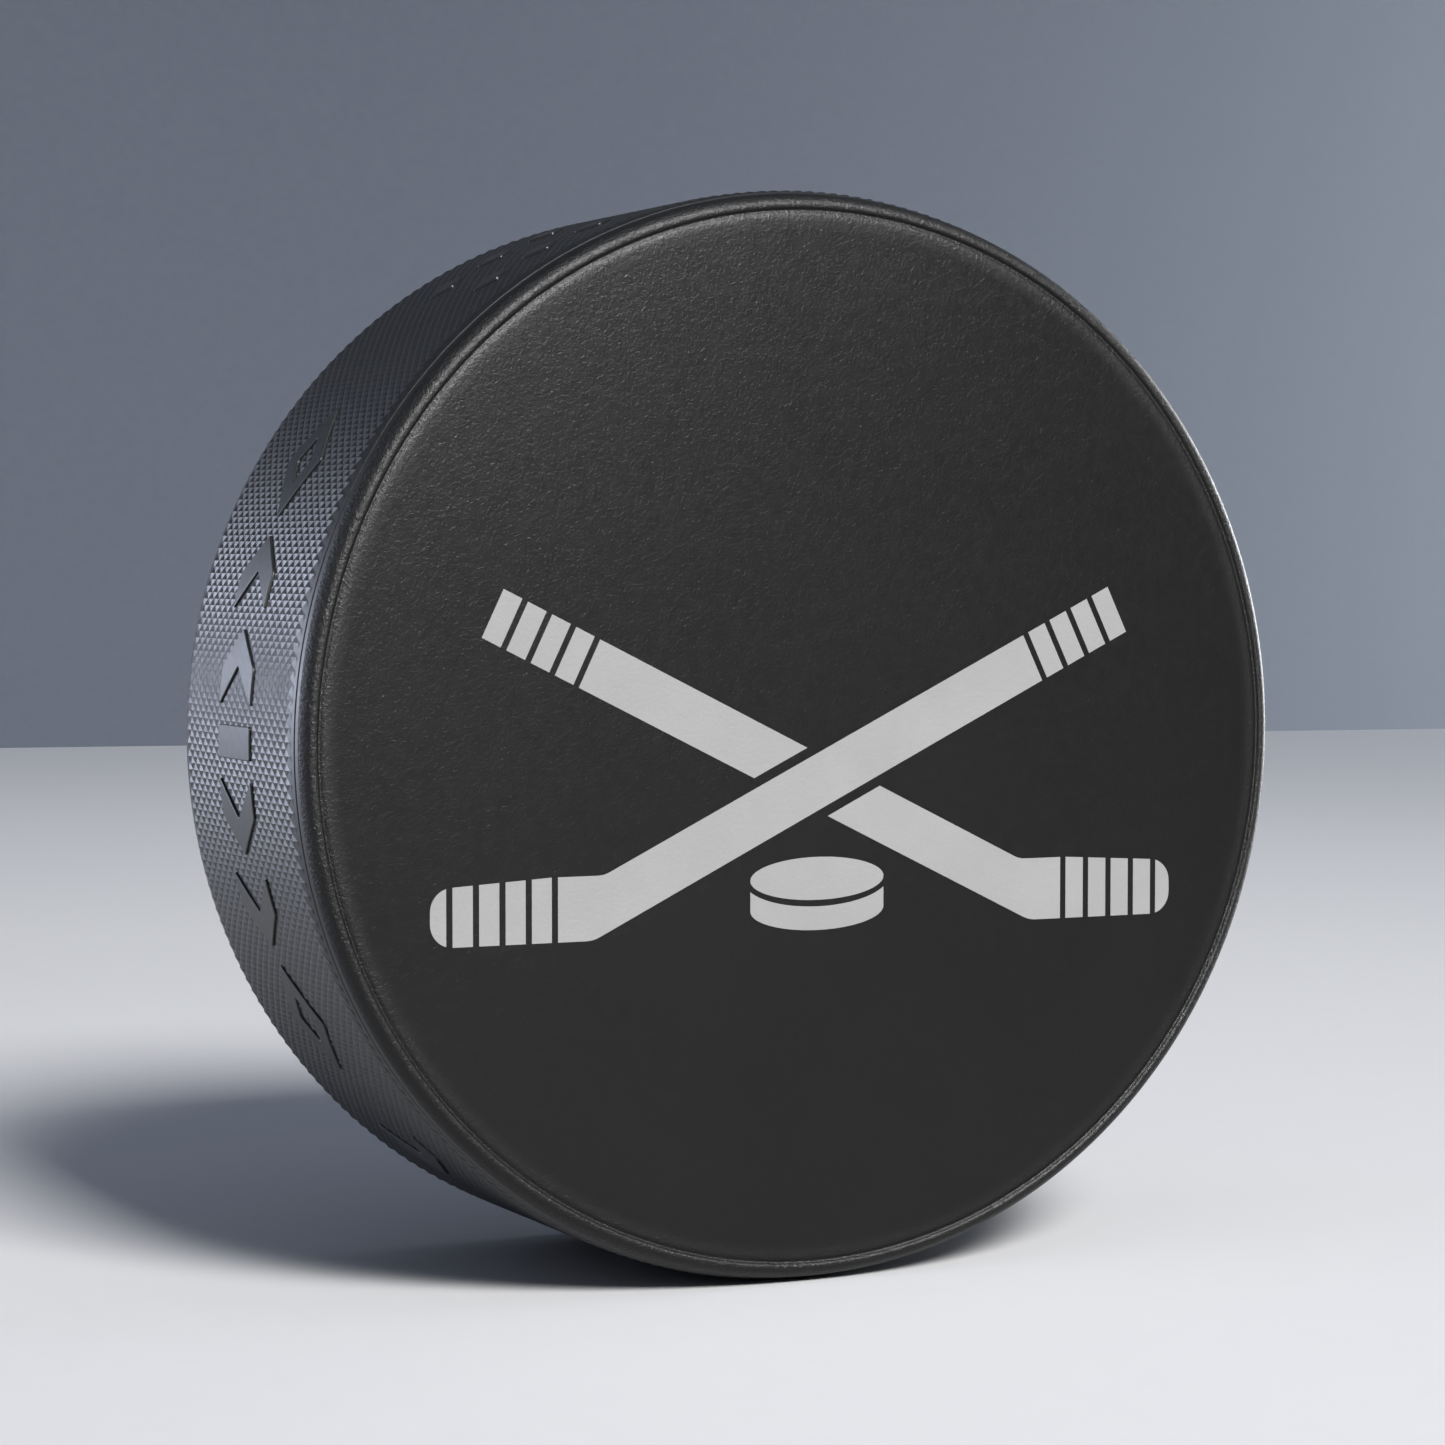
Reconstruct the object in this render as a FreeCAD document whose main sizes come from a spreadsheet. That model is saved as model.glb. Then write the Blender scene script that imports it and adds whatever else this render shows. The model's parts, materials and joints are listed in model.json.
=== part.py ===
import FreeCAD, Part
import math
import os
import re

import Sketcher

# An ice hockey puck that stands on its edge, in millimetres.
#
# Every piece is drawn with the puck lying down and centred: x and y across the faces,
# z along the puck's axis and out of the printed face. stand_up() then turns them upright:
# the printed face looks along -Y, y becomes +Z, and the knurl touches Z = 0.
#
# The puck is one rubber moulding with an emblem printed on one face. Each printed shape
# is a thin film of ink of its own: two crossed sticks with taped grips and blades, and a
# small puck below them.

UPRIGHT_TURN = FreeCAD.Rotation(FreeCAD.Vector(1, 0, 0), 90)

# name, value in millimetres or degrees, meaning
DIMENSIONS = (
    ("puck_diameter", 76.2, "over the raised edge marks"),
    ("puck_thickness", 25.4, "over the two rim beads"),
    ("face_recess", 0.05, "flat face below the rim bead"),
    ("face_radius", 35.6, "where the flat face ends"),
    ("groove_radius", 36.43, "lowest line of the groove beside the bead"),
    ("groove_depth", 0.18, "groove below the flat face"),
    ("groove_fillet", 0.4, "hollow on the groove's inner side"),
    ("bead_radius", 36.8, "inner edge of the bead's land"),
    ("bead_fillet", 0.2, "round from the groove onto the land"),
    ("corner_radius", 1.0, "round from the land onto the edge"),
    ("strip_drop", 0.27, "smooth strip below the overall radius"),
    ("knurl_margin", 1.8, "from the land to where the knurl begins"),
    ("knurl_run_in", 0.3, "length over which the knurl rises"),
    ("mark_rise", 0.1, "edge marks above the knurl's crests"),
    ("parting_offset", 1.25, "mould's parting line, from the land"),
    ("parting_width", 0.12, "mouth of the parting line"),
    ("parting_depth", 0.08, "depth of the parting line"),
    ("mark_height", 6.5, "edge marks, along the puck's axis"),
    ("mark_root", 0.6, "how deep an edge mark is rooted"),
    ("mark_groups", 2, "groups of edge marks around the puck"),
    ("bar_width", 2.3, "bar at the middle of a group"),
    ("chevron_width", 5.3, "whole chevron, around the edge"),
    ("chevron_arm", 2.6, "one arm of a chevron, around the edge"),
    ("lozenge_width", 8.8, "lozenge, around the edge"),
    ("lozenge_opening", 0.42, "lozenge's opening as a share of its outline"),
    ("near_chevron_angle", 7.75, "first chevron from the bar, in degrees"),
    ("far_chevron_angle", 17.75, "second chevron from the bar, in degrees"),
    ("lozenge_angle", 30.25, "lozenge from the bar, in degrees"),
    ("lone_chevron_angle", 49.75, "lone chevron from the bar, in degrees"),
    ("stud_width", 3.0, "small lozenge, around the edge"),
    ("stud_height", 2.8, "small lozenge, along the puck's axis"),
    ("stud_front_row", 5.0, "front row of small lozenges from mid-thickness"),
    ("stud_back_row", 3.2, "back row of small lozenges from mid-thickness"),
    ("first_stud_angle", 56, "first pair of small lozenges from the bar, in degrees"),
    ("middle_stud_angle", 62.5, "middle pair of small lozenges, in degrees"),
    ("last_stud_angle", 69, "last pair of small lozenges, in degrees"),
    ("ink_thickness", 0.04, "printed film"),
    ("emblem_drop", 3.0, "sticks' crossing below the puck's axis"),
    ("stick_angle", 26, "shaft above the horizontal, in degrees"),
    ("shaft_width", 3.6, "stick's shaft"),
    ("shaft_reach", 19.2, "plain shaft beyond the crossing"),
    ("crossing_gap", 0.7, "clear line on each side of the front shaft"),
    ("tape_gap", 0.45, "clear line between windings of tape"),
    ("grip_winding", 1.5, "one winding of grip tape, along the shaft"),
    ("grip_windings", 4, "windings of grip tape"),
    ("blade_base", 10.3, "blade's lower edge below the crossing"),
    ("blade_height", 4.4, "blade at the heel"),
    ("toe_height", 3.9, "blade at the toe"),
    ("heel_reach", 19.6, "end of the plain heel, from the emblem's middle"),
    ("toe_reach", 28.8, "toe of the blade, from the emblem's middle"),
    ("heel_fillet", 2.4, "outside of the heel"),
    ("throat_fillet", 2.0, "inside of the heel"),
    ("toe_fillet", 1.6, "upper and lower corner of the toe"),
    ("blade_winding", 1.45, "one winding of blade tape, along the blade"),
    ("blade_slits", 4, "clear lines between the blade's windings"),
    ("icon_drop", 6.7, "small puck's top below the crossing"),
    ("icon_half_width", 5.2, "small puck's top, half its width"),
    ("icon_half_height", 1.5, "small puck's top, half its height"),
    ("icon_depth", 2.1, "small puck's side wall"),
)

doc = FreeCAD.newDocument("HockeyPuck")
sheet = doc.addObject("Spreadsheet::Sheet", "Dimensions")


def fill_sheet():
    """Writes every driving dimension in a row of its own, with its name as alias."""
    for row, (name, value, meaning) in enumerate(DIMENSIONS, 1):
        sheet.set(f"A{row}", name)
        sheet.set(f"B{row}", str(value))
        sheet.setAlias(f"B{row}", name)
        sheet.set(f"C{row}", meaning)
    doc.recompute()


NAMES = re.compile(r"\b(" + "|".join(name for name, _, _ in DIMENSIONS) + r")\b")

HALF_THICK = "puck_thickness / 2"
OVERALL_RADIUS = "puck_diameter / 2"
FACE_LEVEL = f"({HALF_THICK} - face_recess)"
STRIP_RADIUS = f"({OVERALL_RADIUS} - strip_drop)"
BAND_RADIUS = f"({OVERALL_RADIUS} - mark_rise)"


def from_sheet(formula):
    """The formula with each dimension's name pointing at the sheet's cell."""
    return NAMES.sub(r"Dimensions.\1", formula)


def number(formula):
    """The formula's value now, for geometry that a constraint then takes over."""
    return float(sheet.evalExpression(from_sheet(formula)))


# ---- sketches ----


def add_sketch(body, name, plane, turn_axis=None, turn=None, **shift):
    """A sketch on one of the body's origin planes, turned and shifted by formulas."""
    sketch = body.newObject("Sketcher::SketchObject", name)
    origin = next(f for f in body.Origin.OriginFeatures if f.Role == plane)
    sketch.AttachmentSupport = [(origin, "")]
    sketch.MapMode = "FlatFace"
    if turn:
        turned = FreeCAD.Rotation(FreeCAD.Vector(*turn_axis), number(turn))
        sketch.AttachmentOffset = FreeCAD.Placement(FreeCAD.Vector(), turned)
        sketch.setExpression("AttachmentOffset.Rotation.Angle", from_sheet(turn))
    for axis, formula in shift.items():
        sketch.setExpression(f"AttachmentOffset.Base.{axis}", from_sheet(formula))
    return sketch


def bind(sketch, constraint, name, formula):
    """Adds a dimension to the sketch and lets the formula drive it."""
    index = sketch.addConstraint(constraint)
    sketch.renameConstraint(index, name)
    sketch.setExpression(f".Constraints.{name}", from_sheet(formula))


def pin_down(sketch, geometry, end, name, x=None, y=None):
    """Holds one end of a piece of geometry at the formulas x and y."""
    for kind, formula, axis in (("DistanceX", x, -2), ("DistanceY", y, -1)):
        if formula is None:
            continue
        value = number(formula)
        label = f"{name}_{kind[-1].lower()}"
        if abs(value) < 1e-9:
            sketch.addConstraint(Sketcher.Constraint("PointOnObject", geometry, end, axis))
        elif value > 0:
            held = Sketcher.Constraint(kind, -1, 1, geometry, end, value)
            bind(sketch, held, label, formula)
        else:
            held = Sketcher.Constraint(kind, geometry, end, -1, 1, -value)
            bind(sketch, held, label, f"-({formula})")


def add_polygon(sketch, name, corners):
    """A closed outline of straight lines through corners, which are pairs of formulas."""
    points = [FreeCAD.Vector(number(x), number(y), 0) for x, y in corners]
    lines = [
        sketch.addGeometry(Part.LineSegment(here, there), False)
        for here, there in zip(points, points[1:] + points[:1])
    ]
    for line, following in zip(lines, lines[1:] + lines[:1]):
        sketch.addConstraint(Sketcher.Constraint("Coincident", line, 2, following, 1))
    for index, (line, (x, y)) in enumerate(zip(lines, corners)):
        pin_down(sketch, line, 1, f"{name}{index}", x, y)


def rectangle(left, bottom, right, top):
    """The corners of an upright rectangle, as formulas."""
    return ((left, bottom), (right, bottom), (right, top), (left, top))


def add_ellipse(sketch, name, half_width, half_height, centre_y):
    """An ellipse on the sketch's y axis, wider than it is high."""
    centre = FreeCAD.Vector(0, number(centre_y), 0)
    side = centre + FreeCAD.Vector(number(half_width), 0, 0)
    top = centre + FreeCAD.Vector(0, number(half_height), 0)
    ellipse = sketch.addGeometry(Part.Ellipse(side, top, centre), False)
    sketch.exposeInternalGeometry(ellipse)
    long_axis, short_axis = ellipse + 1, ellipse + 2
    pin_down(sketch, ellipse, 3, f"{name}_centre", "0", centre_y)
    sketch.addConstraint(Sketcher.Constraint("Horizontal", long_axis))
    for line, half in ((long_axis, half_width), (short_axis, half_height)):
        across = Sketcher.Constraint("Distance", line, 2 * number(half))
        bind(sketch, across, f"{name}_axis{line}", f"2 * ({half})")


# ---- features ----


def add_body(name):
    body = doc.addObject("PartDesign::Body", name)
    body.Label = name
    return body


def volume(feature):
    doc.recompute()
    return feature.Shape.Volume


def add_pad(body, name, sketch, length):
    pad = body.newObject("PartDesign::Pad", name)
    pad.Profile = sketch
    pad.setExpression("Length", from_sheet(length))
    body.Tip = pad
    return pad


def add_cut(body, name, kind, sketch, **settings):
    """A Pocket or Groove that must take material away."""
    before = volume(body)
    cut = body.newObject(f"PartDesign::{kind}", name)
    cut.Profile = sketch
    for key, value in settings.items():
        setattr(cut, key, value)
    body.Tip = cut
    if not volume(cut) < before - 1e-6:
        raise RuntimeError(f"{name} takes nothing away")
    return cut


def add_row(body, name, feature, sketch, pitch, count):
    """Repeats a feature along the sketch's horizontal axis."""
    doc.recompute()
    row = body.newObject("PartDesign::LinearPattern", name)
    row.Originals = [feature]
    row.Direction = (sketch, ["H_Axis"])
    row.Mode = "Spacing"
    row.setExpression("Offset", from_sheet(pitch))
    row.setExpression("Occurrences", from_sheet(count))
    body.Tip = row
    return row


def add_fillet(body, name, corners, radius):
    """Rounds the upright edges at corners, which are pairs of formulas."""
    doc.recompute()
    base = body.Tip
    spots = [(number(x), number(y)) for x, y in corners]
    picked = []
    for index, edge in enumerate(base.Shape.Edges, 1):
        ends = [vertex.Point for vertex in edge.Vertexes]
        for x, y in spots:
            if len(ends) == 2 and all(math.hypot(p.x - x, p.y - y) < 1e-4 for p in ends):
                picked.append(f"Edge{index}")
    if len(picked) != len(corners):
        raise RuntimeError(f"{name} found {len(picked)} of {len(corners)} edges")
    fillet = body.newObject("PartDesign::Fillet", name)
    fillet.Base = (base, picked)
    fillet.setExpression("Radius", from_sheet(radius))
    body.Tip = fillet
    return fillet


def stand_up(piece):
    """Turns a finished piece upright, with the knurl's crests on Z = 0."""
    piece.Placement = FreeCAD.Placement(FreeCAD.Vector(), UPRIGHT_TURN)
    piece.setExpression("Placement.Base.z", from_sheet(BAND_RADIUS))


# ---- the rubber moulding ----


def s_curve_radius(run, rise, known):
    """The first radius of two arcs that join two level lines, with the other known."""
    return (run * run + rise * rise) / (2 * rise) - known


def arc(centre_x, centre_y, radius, start, end):
    circle = Part.Circle(FreeCAD.Vector(centre_x, centre_y, 0), FreeCAD.Vector(0, 0, 1), radius)
    return Part.ArcOfCircle(circle, start, end)


def add_half_section(sketch):
    """Half of the puck's section: x is the radius, y the height above the middle.

    Outwards from the axis: flat face, roll-down and hollow into the groove, hollow and
    round up to the bead, land, corner, smooth strip, run-in of the knurl and its crests.
    """
    face, land = number(FACE_LEVEL), number(HALF_THICK)
    floor = face - number("groove_depth")
    edge_x, groove_x = number("face_radius"), number("groove_radius")
    bead_x, corner = number("bead_radius"), number("corner_radius")
    strip, band = number(STRIP_RADIUS), number(BAND_RADIUS)
    strip_end = land - number("knurl_margin")
    band_end = strip_end - number("knurl_run_in")
    hollow, round_up = number("groove_fillet"), number("bead_fillet")
    roll = s_curve_radius(groove_x - edge_x, face - floor, hollow)
    rise = s_curve_radius(bead_x - groove_x, land - floor, round_up)
    down = math.atan2(floor + hollow - face + roll, groove_x - edge_x)
    up = math.atan2(land - round_up - floor - rise, bead_x - groove_x)
    quarter = math.pi / 2

    def line(x1, y1, x2, y2):
        return Part.LineSegment(FreeCAD.Vector(x1, y1, 0), FreeCAD.Vector(x2, y2, 0))

    # each piece of the outline, with the ends at which the walk enters and leaves it
    chain = (
        ("face", line(0, face, edge_x, face), 1, 2),
        ("roll", arc(edge_x, face - roll, roll, down, quarter), 2, 1),
        ("hollow", arc(groove_x, floor + hollow, hollow, math.pi + down, 3 * quarter), 1, 2),
        ("rise", arc(groove_x, floor + rise, rise, -quarter, up), 1, 2),
        ("bead", arc(bead_x, land - round_up, round_up, quarter, math.pi + up), 2, 1),
        ("land", line(bead_x, land, strip - corner, land), 1, 2),
        ("corner", arc(strip - corner, land - corner, corner, 0, quarter), 2, 1),
        ("strip", line(strip, land - corner, strip, strip_end), 1, 2),
        ("run_in", line(strip, strip_end, band, band_end), 1, 2),
        ("band", line(band, band_end, band, 0), 1, 2),
        ("middle", line(band, 0, 0, 0), 1, 2),
        ("axis", line(0, 0, 0, face), 1, 2),
    )
    at = {name: sketch.addGeometry(shape, False) for name, shape, _, _ in chain}
    curved = {"roll", "hollow", "rise", "bead", "corner"}
    for (name, _, _, out), (following, _, into, _) in zip(chain, chain[1:] + chain[:1]):
        smooth = name in curved or following in curved
        kind = "Tangent" if smooth else "Coincident"
        joint = Sketcher.Constraint(kind, at[name], out, at[following], into)
        sketch.addConstraint(joint)
    for name in ("face", "middle"):
        sketch.addConstraint(Sketcher.Constraint("Horizontal", at[name]))
    for name in ("band", "axis"):
        sketch.addConstraint(Sketcher.Constraint("Vertical", at[name]))
    level_floor = Sketcher.Constraint("Vertical", at["hollow"], 3, at["hollow"], 2)
    sketch.addConstraint(level_floor)
    sketch.addConstraint(Sketcher.Constraint("Coincident", at["axis"], 1, -1, 1))

    pin_down(sketch, at["face"], 2, "face_end", "face_radius", FACE_LEVEL)
    pin_down(sketch, at["rise"], 1, "floor", "groove_radius", f"{FACE_LEVEL} - groove_depth")
    pin_down(sketch, at["land"], 1, "land", "bead_radius", HALF_THICK)
    pin_down(sketch, at["strip"], 2, "strip", STRIP_RADIUS, f"{HALF_THICK} - knurl_margin")
    knurl_top = f"{HALF_THICK} - knurl_margin - knurl_run_in"
    pin_down(sketch, at["band"], 1, "band", BAND_RADIUS, knurl_top)
    for name, formula in (
        ("hollow", "groove_fillet"),
        ("bead", "bead_fillet"),
        ("corner", "corner_radius"),
    ):
        held = Sketcher.Constraint("Radius", at[name], number(formula))
        bind(sketch, held, f"{name}_arc", formula)


def make_disc():
    """The moulding without its edge marks: half is turned, scored and mirrored."""
    body = add_body("moulded_disc")
    section = add_sketch(body, "half_section", "XZ_Plane")
    add_half_section(section)
    half = body.newObject("PartDesign::Revolution", "half_disc")
    half.Profile = section
    half.ReferenceAxis = (section, ["V_Axis"])
    half.Angle = 360
    body.Tip = half

    notch = add_sketch(body, "parting_notch", "XZ_Plane")
    level = f"{HALF_THICK} - parting_offset"
    mouth = f"{STRIP_RADIUS} + parting_depth"
    add_polygon(
        notch,
        "notch",
        (
            (f"{STRIP_RADIUS} - parting_depth", level),
            (mouth, f"{level} - parting_width"),
            (mouth, f"{level} + parting_width"),
        ),
    )
    line = add_cut(
        body, "parting_line", "Groove", notch, ReferenceAxis=(notch, ["V_Axis"]), Angle=360
    )

    whole = body.newObject("PartDesign::Mirrored", "both_halves")
    whole.Originals = [half, line]
    whole.MirrorPlane = (
        next(f for f in body.Origin.OriginFeatures if f.Role == "XY_Plane"),
        [""],
    )
    body.Tip = whole
    return body


def chevron(side):
    """The corners of a chevron whose point looks away from the middle of its group."""
    back = f"-{side} * chevron_width / 2"
    nock = f"{side} * (chevron_arm - chevron_width / 2)"
    shoulder = f"{side} * (chevron_width / 2 - chevron_arm)"
    point = f"{side} * chevron_width / 2"
    half = "mark_height / 2"
    return (
        (back, f"-{half}"),
        (nock, f"-{half}"),
        (point, "0"),
        (nock, half),
        (back, half),
        (shoulder, "0"),
    )


def lozenge(width, height, middle="0"):
    """The corners of a lozenge whose middle lies on the sketch's upright axis."""
    left, right = f"-({width}) / 2", f"({width}) / 2"
    low, high = f"{middle} - ({height}) / 2", f"{middle} + ({height}) / 2"
    return ((left, middle), ("0", low), (right, middle), ("0", high))


def make_edge_marks():
    """Raised marks: rays of each mark's outline, cut off by a thin-walled tube."""
    rays = add_body("mark_rays")
    half_bar = "bar_width / 2"
    bar = rectangle(f"-{half_bar}", "-mark_height / 2", half_bar, "mark_height / 2")
    open_lozenge = [
        lozenge("lozenge_width", "mark_height"),
        lozenge("lozenge_width * lozenge_opening", "mark_height * lozenge_opening"),
    ]
    studs = [
        lozenge("stud_width", "stud_height", "stud_front_row"),
        lozenge("stud_width", "stud_height", "-stud_back_row"),
    ]
    # name, angle from the bar, side of the bar, outlines
    outlines = [("bar", "0", 1, [bar]), ("lone_chevron", "lone_chevron_angle", 1, [chevron(1)])]
    for side, word in ((1, "right"), (-1, "left")):
        outlines += [
            (f"near_chevron_{word}", "near_chevron_angle", side, [chevron(side)]),
            (f"far_chevron_{word}", "far_chevron_angle", side, [chevron(side)]),
            (f"lozenge_{word}", "lozenge_angle", side, open_lozenge),
        ]
    for which in ("first", "middle", "last"):
        outlines.append((f"{which}_studs", f"{which}_stud_angle", -1, studs))
    pads = []
    for name, angle, side, rings in outlines:
        # an unturned ray points along -y, a quarter turn past the middle of the group on -x
        turned = f"90 - {side} * {angle}"
        sketch = add_sketch(
            rays, f"{name}_outline", "XZ_Plane", turn_axis=(0, -1, 0), turn=turned
        )
        for index, ring in enumerate(rings):
            add_polygon(sketch, f"ring{index}_", ring)
        pads.append(add_pad(rays, name, sketch, f"{OVERALL_RADIUS} + mark_root"))
    doc.recompute()
    groups = rays.newObject("PartDesign::PolarPattern", "mark_groups_round")
    groups.Originals = pads
    groups.Axis = (next(f for f in rays.Origin.OriginFeatures if f.Role == "Z_Axis"), [""])
    groups.Angle = 360
    groups.setExpression("Occurrences", from_sheet("mark_groups"))
    rays.Tip = groups

    tops = doc.addObject("Part::Cylinder", "mark_tops")
    tops.setExpression("Radius", from_sheet(OVERALL_RADIUS))
    roots = doc.addObject("Part::Cylinder", "mark_roots")
    roots.setExpression("Radius", from_sheet(f"{OVERALL_RADIUS} - mark_root"))
    for cylinder in (tops, roots):
        cylinder.setExpression("Height", from_sheet("puck_thickness"))
        cylinder.setExpression("Placement.Base.z", from_sheet(f"-{HALF_THICK}"))
    tube = doc.addObject("Part::Cut", "mark_tube")
    tube.Base = tops
    tube.Tool = roots
    marks = doc.addObject("Part::Common", "edge_marks")
    marks.Base = rays
    marks.Tool = tube
    return marks


def make_rubber_puck():
    puck = doc.addObject("Part::MultiFuse", "rubber_puck")
    puck.Label = "rubber_puck"
    puck.Shapes = [make_disc(), make_edge_marks()]
    puck.Refine = True
    stand_up(puck)
    return puck


# ---- the printed emblem ----

SINE, COSINE = "sin(stick_angle)", "cos(stick_angle)"


def beside_shaft(along, above):
    """A point of the front stick: along its shaft from the crossing, and above its middle."""
    return f"{along} * {COSINE} - {above} * {SINE}", f"{along} * {SINE} + {above} * {COSINE}"


def where_shaft_meets(level, above):
    """The point of a shaft's side, above or below its middle, at a level of the emblem."""
    return f"({level} * {COSINE} - ({above})) / {SINE}", level


def mirrored(side, corners):
    """The same corners for the other stick, when side is -1."""
    return tuple((f"{side} * ({x})", y) for x, y in corners)


def add_print_sketch(body, name, turn=None):
    """A sketch on the printed face, with its origin at the sticks' crossing."""
    return add_sketch(
        body, name, "XY_Plane", turn_axis=(0, 0, 1), turn=turn, y="-emblem_drop", z=FACE_LEVEL
    )


def shaft_turn(side):
    """How far a stick's shaft is turned from the emblem's horizontal."""
    return "stick_angle" if side == 1 else "180 - stick_angle"


def make_shaft(name, side):
    """The plain part of a stick: its shaft and its heel."""
    body = add_body(name)
    half = "shaft_width / 2"
    base, throat = "-blade_base", "(blade_height - blade_base)"
    heel = where_shaft_meets(base, f"-{half}")
    inner = where_shaft_meets(throat, half)
    corners = (
        beside_shaft("shaft_reach", f"(-{half})"),
        beside_shaft("shaft_reach", half),
        inner,
        ("-heel_reach", throat),
        ("-heel_reach", base),
        heel,
    )
    sketch = add_print_sketch(body, f"{name}_outline")
    add_polygon(sketch, "corner", mirrored(side, corners))
    add_pad(body, f"{name}_film", sketch, "ink_thickness")
    for word, (x, y), radius in (
        ("heel", heel, "heel_fillet"),
        ("throat", inner, "throat_fillet"),
    ):
        spot = (f"{side} * ({x})", f"{y} - emblem_drop")
        add_fillet(body, f"{name}_{word}", [spot], radius)
    return body


def cut_crossing(body):
    """Clears the rear stick where the front stick passes over it."""
    sketch = add_print_sketch(body, "crossing_outline", shaft_turn(1))
    half = "shaft_width / 2 + crossing_gap"
    outline = rectangle("-2 * shaft_width", f"-({half})", "2 * shaft_width", half)
    add_polygon(sketch, "corner", outline)
    add_cut(body, "crossing", "Pocket", sketch, Type="ThroughAll", Midplane=True)


def make_grip(name, side):
    """Windings of tape at the top of a shaft."""
    body = add_body(name)
    sketch = add_print_sketch(body, f"{name}_outline", shaft_turn(side))
    start = "shaft_reach + tape_gap"
    half = "shaft_width / 2"
    outline = rectangle(start, f"-{half}", f"{start} + grip_winding", half)
    add_polygon(sketch, "corner", outline)
    winding = add_pad(body, f"{name}_winding", sketch, "ink_thickness")
    pitch = "grip_winding + tape_gap"
    add_row(body, f"{name}_windings", winding, sketch, pitch, "grip_windings")
    return body


def make_blade(name, side):
    """Windings of tape along a blade, up to its rounded toe."""
    body = add_body(name)
    start = "heel_reach + tape_gap"
    base = "-blade_base"
    toe = (("-toe_reach", "toe_height - blade_base"), ("-toe_reach", base))
    corners = ((f"-({start})", "blade_height - blade_base"), *toe, (f"-({start})", base))
    sketch = add_print_sketch(body, f"{name}_outline")
    add_polygon(sketch, "corner", mirrored(side, corners))
    add_pad(body, f"{name}_film", sketch, "ink_thickness")
    spots = [(x, f"{y} - emblem_drop") for x, y in mirrored(side, toe)]
    add_fillet(body, f"{name}_toe", spots, "toe_fillet")

    slit = add_print_sketch(body, f"{name}_slit", "0" if side == -1 else "180")
    left, right = f"{start} + blade_winding", f"{start} + blade_winding + tape_gap"
    # the sketch for a blade on the left is turned by half a turn, so its up is down
    low, high = ("-1", "blade_base + 1") if side == 1 else ("-blade_base - 1", "1")
    add_polygon(slit, "corner", rectangle(left, low, right, high))
    gap = add_cut(body, f"{name}_gap", "Pocket", slit, Type="ThroughAll", Midplane=True)
    pitch = "blade_winding + tape_gap"
    add_row(body, f"{name}_gaps", gap, slit, pitch, "blade_slits")
    return body


def make_icon_top():
    """The small puck's top, an ellipse."""
    body = add_body("print_small_puck_top")
    sketch = add_print_sketch(body, "icon_top_outline")
    add_ellipse(sketch, "top", "icon_half_width", "icon_half_height", "-icon_drop")
    add_pad(body, "icon_top_film", sketch, "ink_thickness")
    return body


def make_icon_side():
    """The small puck's side wall: its whole outline less its top and a clear line."""
    body = add_body("print_small_puck_side")
    low = "-icon_drop - icon_depth"
    bottom = add_print_sketch(body, "icon_bottom_outline")
    add_ellipse(bottom, "bottom", "icon_half_width", "icon_half_height", low)
    add_pad(body, "icon_bottom_film", bottom, "ink_thickness")
    wall = add_print_sketch(body, "icon_wall_outline")
    add_polygon(
        wall, "corner", rectangle("-icon_half_width", low, "icon_half_width", "-icon_drop")
    )
    add_pad(body, "icon_wall_film", wall, "ink_thickness")
    hollow = add_print_sketch(body, "icon_hollow_outline")
    wide, high = "icon_half_width + tape_gap", "icon_half_height + tape_gap"
    add_ellipse(hollow, "hollow", wide, high, "-icon_drop")
    add_cut(body, "icon_hollow", "Pocket", hollow, Type="ThroughAll", Midplane=True)
    return body


def make_print():
    """Every printed film, each a body of its own."""
    films = [
        make_shaft("print_front_stick_shaft", 1),
        make_shaft("print_rear_stick_shaft", -1),
        make_grip("print_front_stick_grip", 1),
        make_grip("print_rear_stick_grip", -1),
        make_blade("print_front_stick_blade", 1),
        make_blade("print_rear_stick_blade", -1),
        make_icon_top(),
        make_icon_side(),
    ]
    cut_crossing(films[1])
    for film in films:
        stand_up(film)
    return films


# ---- checks and files ----


def check(nodes):
    """Stops unless the whole document computed and every node is a sound solid."""
    doc.recompute()
    for item in doc.Objects:
        if {"Invalid", "Error"} & set(item.State):
            raise RuntimeError(f"{item.Name} failed: {item.State}")
    for node in nodes:
        shape = node.Shape
        if shape.isNull() or not shape.isValid() or not shape.Solids:
            raise RuntimeError(f"{node.Label} is not a sound solid")
        box = shape.BoundBox
        print(
            f"{node.Label}: {len(shape.Solids)} solids, {shape.Volume:.2f} mm3,",
            f"X {box.XMin:.3f}..{box.XMax:.3f}, Y {box.YMin:.3f}..{box.YMax:.3f},",
            f"Z {box.ZMin:.3f}..{box.ZMax:.3f}",
        )


def main():
    fill_sheet()
    nodes = [make_rubber_puck(), *make_print()]
    check(nodes)
    os.makedirs("parts", exist_ok=True)
    for node in nodes:
        node.Shape.exportStep(f"parts/{node.Label}.step")


main()
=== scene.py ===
import json
import math
import random

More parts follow.
